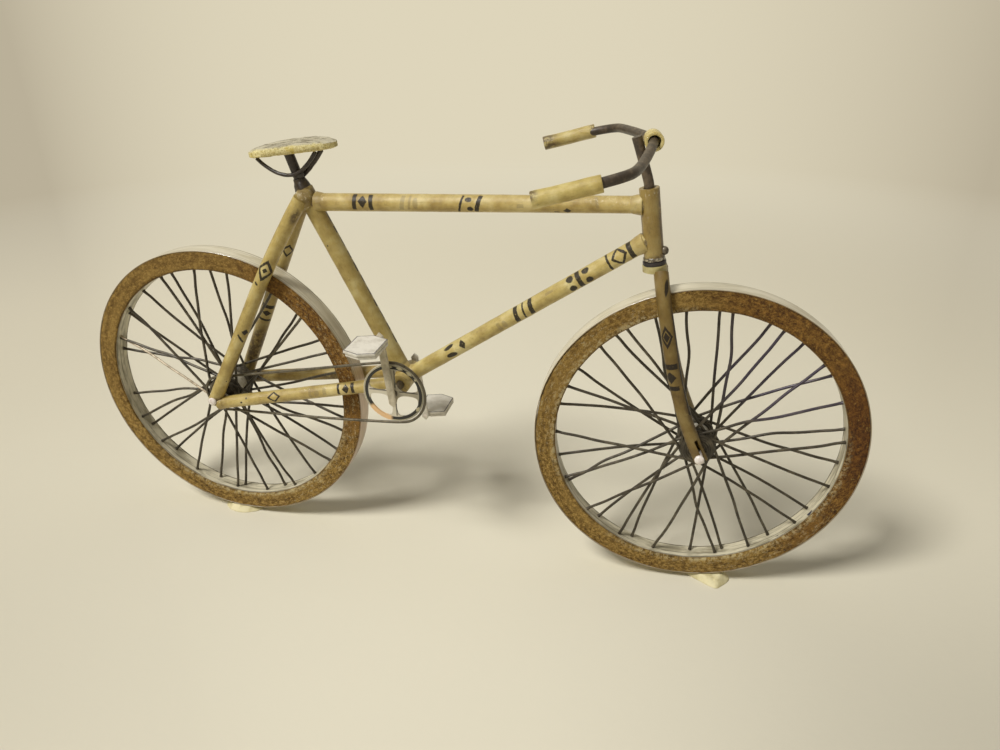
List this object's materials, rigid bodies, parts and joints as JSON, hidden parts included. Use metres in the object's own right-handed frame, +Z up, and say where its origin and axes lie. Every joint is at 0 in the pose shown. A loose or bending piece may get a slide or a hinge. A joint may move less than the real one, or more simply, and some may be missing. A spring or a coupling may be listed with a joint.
{
  "type": "miniature rolled-paper safety bicycle model",
  "caption": "Hand-made miniature diamond-frame bicycle of rolled printed paper, card and wire, on two putty dabs, with turning wheels, cranks and steering.",
  "frame": {"origin": "on the table, under the rear axle, on the rear putty dab's flat foot", "axes": "+X forward, +Y to the rider's left, +Z up; the chain is on the -Y side"},
  "size_m": [0.131, 0.0415, 0.0726],
  "materials": {
    "tube_paper": "varnished rolled paper, printed",
    "board": "cut edge of thick grey-brown board",
    "tread_strip": "glossy white paper strip",
    "rim_strip": "white paper strip",
    "spoke_wire": "dark thin wire",
    "hub_paper": "white rolled paper",
    "axle_pin": "white painted pin",
    "putty": "soft putty",
    "dark_rod": "near-black brown paint",
    "bar_rod": "grey-brown, satin",
    "black_washer": "black",
    "bead": "grey bead",
    "glue": "dried dark glue",
    "saddle_card": "card with a fuzzy edge",
    "card": "pale grey card",
    "chainring_card": "black and cream printed card",
    "chain_wire": "thin grey wire"
  },
  "bodies": {
    "root": {"bottom_bracket": "tube_paper", "head_tube": "tube_paper", "seat_tube": "tube_paper", "top_tube": "tube_paper", "down_tube": "tube_paper", "head_bead": "bead", "seat_glue": "glue", "seat_stay_right": "tube_paper", "seat_stay_left": "tube_paper", "chain_stay_right": "tube_paper", "chain_stay_left": "tube_paper", "seat_post": "dark_rod", "saddle_pad": "saddle_card", "saddle_wire": "dark_rod", "saddle_strut": "dark_rod", "rear_axle_pin": "axle_pin", "chain_wire": "chain_wire", "putty_rear": "putty", "putty_front": "putty"},
    "fork": {"steering_post": "bar_rod", "head_washer": "black_washer", "crown_collar": "tube_paper", "fork_blade_right": "tube_paper", "fork_blade_left": "tube_paper", "front_axle_pin": "axle_pin", "handlebar": "bar_rod", "handlebar_collar": "tube_paper", "grip_right": "tube_paper", "grip_left": "tube_paper"},
    "rear_wheel": {"rear_ring": "board", "rear_tread": "tread_strip", "rear_rim_strip": "rim_strip", "rear_spokes": "spoke_wire", "rear_hub": "hub_paper"},
    "front_wheel": {"front_ring": "board", "front_tread": "tread_strip", "front_rim_strip": "rim_strip", "front_spokes": "spoke_wire", "front_hub": "hub_paper"},
    "crank": {"crank_spindle": "hub_paper", "chainring": "chainring_card", "crank_right": "card", "crank_left": "card", "pedal_right": "card", "pedal_left": "card"}
  },
  "joints": [
    {"name": "steering", "type": "hinge", "parent": "root", "child": "fork", "pos_m": [0.07157, 0, 0.05485], "axis": [-0.1478, 0, 0.989], "range_deg": [-50.5, 39.5]},
    {"name": "front_wheel_spin", "type": "hinge", "parent": "fork", "child": "front_wheel", "pos_m": [0.08033, 0.00043, 0.0262], "axis": [-0.0948, 0.9954, -0.0142], "continuous": true},
    {"name": "rear_wheel_spin", "type": "hinge", "parent": "root", "child": "rear_wheel", "pos_m": [0, 0, 0.0262], "axis": [0, 1, 0], "continuous": true},
    {"name": "crank_spin", "type": "hinge", "parent": "root", "child": "crank", "pos_m": [0.0331, 0, 0.0318], "axis": [0, 1, 0], "continuous": true}
  ]
}
